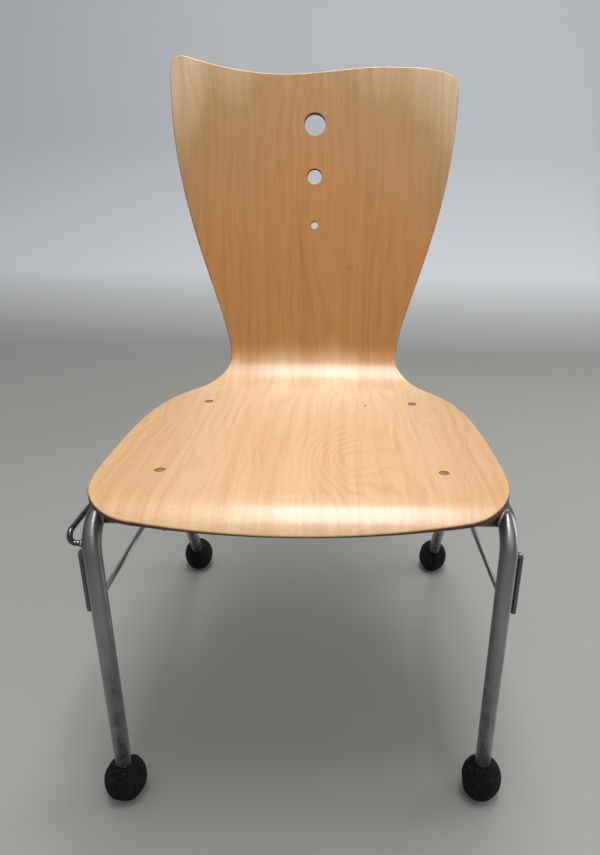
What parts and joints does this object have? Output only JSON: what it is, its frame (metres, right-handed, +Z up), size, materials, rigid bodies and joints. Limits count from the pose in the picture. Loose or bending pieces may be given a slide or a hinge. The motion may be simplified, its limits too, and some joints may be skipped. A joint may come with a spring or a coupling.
{
  "type": "stacking chair",
  "caption": "Stacking chair: one-piece bent plywood seat and back with a wavy top edge and round holes, on a bent steel tube frame with linking rods and soft ball feet.",
  "frame": {"origin": "on the floor, below the centre of the chair's bounding box, in the frame's middle plane", "axes": "+Z up, the sitter faces -Y, +X to the viewer's right when facing the front of the chair"},
  "size_m": [0.4956, 0.561, 0.8532],
  "materials": {
    "beech_plywood": "satin clear lacquer",
    "frame_steel": "dull chrome plate",
    "screw_bronze": "dull bronzed",
    "zinc_steel": "zinc plated",
    "foot_foam": "open pored matt black foam rubber",
    "black_nylon": "moulded"
  },
  "bodies": {
    "root": {"seat_and_back_shell": "beech_plywood", "left_side_frame": "frame_steel", "right_side_frame": "frame_steel", "front_cross_tube": "frame_steel", "rear_cross_tube": "frame_steel", "left_stretcher_rod": "frame_steel", "right_stretcher_rod": "frame_steel", "left_linking_pin": "frame_steel", "right_linking_pin": "frame_steel", "left_linking_rail": "frame_steel", "front_left_tube_plug": "black_nylon", "front_right_tube_plug": "black_nylon", "rear_left_tube_plug": "black_nylon", "rear_right_tube_plug": "black_nylon", "front_left_ball_foot": "foot_foam", "front_right_ball_foot": "foot_foam", "rear_left_ball_foot": "foot_foam", "rear_right_ball_foot": "foot_foam", "front_left_shell_screw": "screw_bronze", "front_right_shell_screw": "screw_bronze", "rear_left_shell_screw": "screw_bronze", "rear_right_shell_screw": "screw_bronze", "front_left_saddle": "black_nylon", "front_right_saddle": "black_nylon", "rear_left_saddle": "black_nylon", "rear_right_saddle": "black_nylon", "front_left_washer": "zinc_steel", "front_right_washer": "zinc_steel", "rear_left_washer": "zinc_steel", "rear_right_washer": "zinc_steel", "front_left_nut": "zinc_steel", "front_right_nut": "zinc_steel", "rear_left_nut": "zinc_steel", "rear_right_nut": "zinc_steel"}
  },
  "joints": []
}
